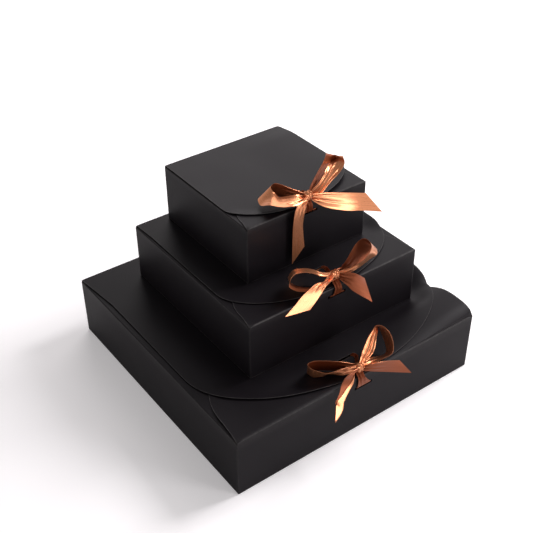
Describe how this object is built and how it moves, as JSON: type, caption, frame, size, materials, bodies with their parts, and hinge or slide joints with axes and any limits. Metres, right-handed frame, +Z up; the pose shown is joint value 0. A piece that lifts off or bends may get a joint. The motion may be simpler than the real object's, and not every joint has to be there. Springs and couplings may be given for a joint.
{
  "type": "ribbon gift box set",
  "caption": "Stacked square black paperboard gift boxes with hinged lids, folding flaps and lift-off stacking, each tied at the front edge with a copper satin ribbon bow.",
  "frame": {"origin": "centre of the large box's underside", "axes": "+X to the right as seen facing the bows, +Y from the bow side to the lid hinge side, +Z up"},
  "size_m": [0.3, 0.3145, 0.2374],
  "materials": {
    "board": "matt black dyed paperboard",
    "ribbon": "copper satin"
  },
  "bodies": {
    "large_tray": {"large_base_panel": "board", "large_front_wall": "board", "large_back_wall": "board", "large_left_wall": "board", "large_right_wall": "board", "large_front_left_tab": "board", "large_front_right_tab": "board", "large_back_left_tab": "board", "large_back_right_tab": "board", "large_inner_run": "ribbon"},
    "large_left_dust_flap": {"large_left_dust_flap": "board"},
    "large_right_dust_flap": {"large_right_dust_flap": "board"},
    "large_front_flap": {"large_front_flap": "board"},
    "large_lid": {"large_lid": "board"},
    "large_ribbon": {"large_bow_knot": "ribbon", "large_left_loop": "ribbon", "large_right_loop": "ribbon", "large_left_tail": "ribbon", "large_right_tail": "ribbon", "large_strap": "ribbon"},
    "medium_tray": {"medium_base_panel": "board", "medium_front_wall": "board", "medium_back_wall": "board", "medium_left_wall": "board", "medium_right_wall": "board", "medium_front_left_tab": "board", "medium_front_right_tab": "board", "medium_back_left_tab": "board", "medium_back_right_tab": "board", "medium_inner_run": "ribbon"},
    "medium_left_dust_flap": {"medium_left_dust_flap": "board"},
    "medium_right_dust_flap": {"medium_right_dust_flap": "board"},
    "medium_front_flap": {"medium_front_flap": "board"},
    "medium_lid": {"medium_lid": "board"},
    "medium_ribbon": {"medium_bow_knot": "ribbon", "medium_left_loop": "ribbon", "medium_right_loop": "ribbon", "medium_left_tail": "ribbon", "medium_right_tail": "ribbon", "medium_strap": "ribbon"},
    "small_tray": {"small_base_panel": "board", "small_front_wall": "board", "small_back_wall": "board", "small_left_wall": "board", "small_right_wall": "board", "small_front_left_tab": "board", "small_front_right_tab": "board", "small_back_left_tab": "board", "small_back_right_tab": "board", "small_inner_run": "ribbon"},
    "small_left_dust_flap": {"small_left_dust_flap": "board"},
    "small_right_dust_flap": {"small_right_dust_flap": "board"},
    "small_front_flap": {"small_front_flap": "board"},
    "small_lid": {"small_lid": "board"},
    "small_ribbon": {"small_bow_knot": "ribbon", "small_left_loop": "ribbon", "small_right_loop": "ribbon", "small_left_tail": "ribbon", "small_right_tail": "ribbon", "small_strap": "ribbon"}
  },
  "joints": [
    {"name": "medium_lift", "type": "slide", "parent": "large_tray", "child": "medium_tray", "axis": [0, 0, 1], "range_m": [0, 0.7295]},
    {"name": "small_lift", "type": "slide", "parent": "medium_tray", "child": "small_tray", "axis": [0, 0, 1], "range_m": [0, 0.5567]},
    {"name": "large_lid_hinge", "type": "hinge", "parent": "large_tray", "child": "large_lid", "pos_m": [0, 0.15, 0.0695], "axis": [-1, 0, 0], "range_deg": [0, 110]},
    {"name": "large_front_flap_hinge", "type": "hinge", "parent": "large_tray", "child": "large_front_flap", "pos_m": [0, -0.15, 0.0688], "axis": [1, 0, 0], "range_deg": [0, 110]},
    {"name": "large_left_dust_flap_hinge", "type": "hinge", "parent": "large_tray", "child": "large_left_dust_flap", "pos_m": [-0.15, 0, 0.0681], "axis": [0, -1, 0], "range_deg": [0, 110]},
    {"name": "large_right_dust_flap_hinge", "type": "hinge", "parent": "large_tray", "child": "large_right_dust_flap", "pos_m": [0.15, 0, 0.0681], "axis": [0, 1, 0], "range_deg": [0, 110]},
    {"name": "large_ribbon_draw", "type": "slide", "parent": "large_lid", "child": "large_ribbon", "axis": [0, -0.6, 0.8], "range_m": [0, 0.12]},
    {"name": "medium_lid_hinge", "type": "hinge", "parent": "medium_tray", "child": "medium_lid", "pos_m": [0.0125, 0.1195, 0.1345], "axis": [-1, 0, 0], "range_deg": [0, 110]},
    {"name": "medium_front_flap_hinge", "type": "hinge", "parent": "medium_tray", "child": "medium_front_flap", "pos_m": [0.0125, -0.0905, 0.1338], "axis": [1, 0, 0], "range_deg": [0, 110]},
    {"name": "medium_left_dust_flap_hinge", "type": "hinge", "parent": "medium_tray", "child": "medium_left_dust_flap", "pos_m": [-0.0925, 0.0145, 0.1331], "axis": [0, -1, 0], "range_deg": [0, 110]},
    {"name": "medium_right_dust_flap_hinge", "type": "hinge", "parent": "medium_tray", "child": "medium_right_dust_flap", "pos_m": [0.1175, 0.0145, 0.1331], "axis": [0, 1, 0], "range_deg": [0, 110]},
    {"name": "medium_ribbon_draw", "type": "slide", "parent": "medium_lid", "child": "medium_ribbon", "axis": [0, -0.6, 0.8], "range_m": [0, 0.12]},
    {"name": "small_lid_hinge", "type": "hinge", "parent": "small_tray", "child": "small_lid", "pos_m": [0.018, 0.111, 0.1995], "axis": [-1, 0, 0], "range_deg": [0, 110]},
    {"name": "small_front_flap_hinge", "type": "hinge", "parent": "small_tray", "child": "small_front_flap", "pos_m": [0.018, -0.037, 0.1988], "axis": [1, 0, 0], "range_deg": [0, 110]},
    {"name": "small_left_dust_flap_hinge", "type": "hinge", "parent": "small_tray", "child": "small_left_dust_flap", "pos_m": [-0.056, 0.037, 0.1981], "axis": [0, -1, 0], "range_deg": [0, 110]},
    {"name": "small_right_dust_flap_hinge", "type": "hinge", "parent": "small_tray", "child": "small_right_dust_flap", "pos_m": [0.092, 0.037, 0.1981], "axis": [0, 1, 0], "range_deg": [0, 110]},
    {"name": "small_ribbon_draw", "type": "slide", "parent": "small_lid", "child": "small_ribbon", "axis": [0, -0.6, 0.8], "range_m": [0, 0.12]}
  ],
  "couplings": [
    {"joint": "large_left_dust_flap_hinge", "follows": "medium_lift", "rad_per_m": 2.6316},
    {"joint": "large_right_dust_flap_hinge", "follows": "medium_lift", "rad_per_m": 2.6316},
    {"joint": "large_front_flap_hinge", "follows": "medium_lift", "rad_per_m": 2.6316},
    {"joint": "large_lid_hinge", "follows": "medium_lift", "rad_per_m": 2.6316},
    {"joint": "medium_left_dust_flap_hinge", "follows": "small_lift", "rad_per_m": 3.4483},
    {"joint": "medium_right_dust_flap_hinge", "follows": "small_lift", "rad_per_m": 3.4483},
    {"joint": "medium_front_flap_hinge", "follows": "small_lift", "rad_per_m": 3.4483},
    {"joint": "medium_lid_hinge", "follows": "small_lift", "rad_per_m": 3.4483},
    {"joint": "small_left_dust_flap_hinge", "follows": "small_lid_hinge", "ratio": 1},
    {"joint": "small_right_dust_flap_hinge", "follows": "small_lid_hinge", "ratio": 1},
    {"joint": "small_front_flap_hinge", "follows": "small_lid_hinge", "ratio": 1}
  ]
}
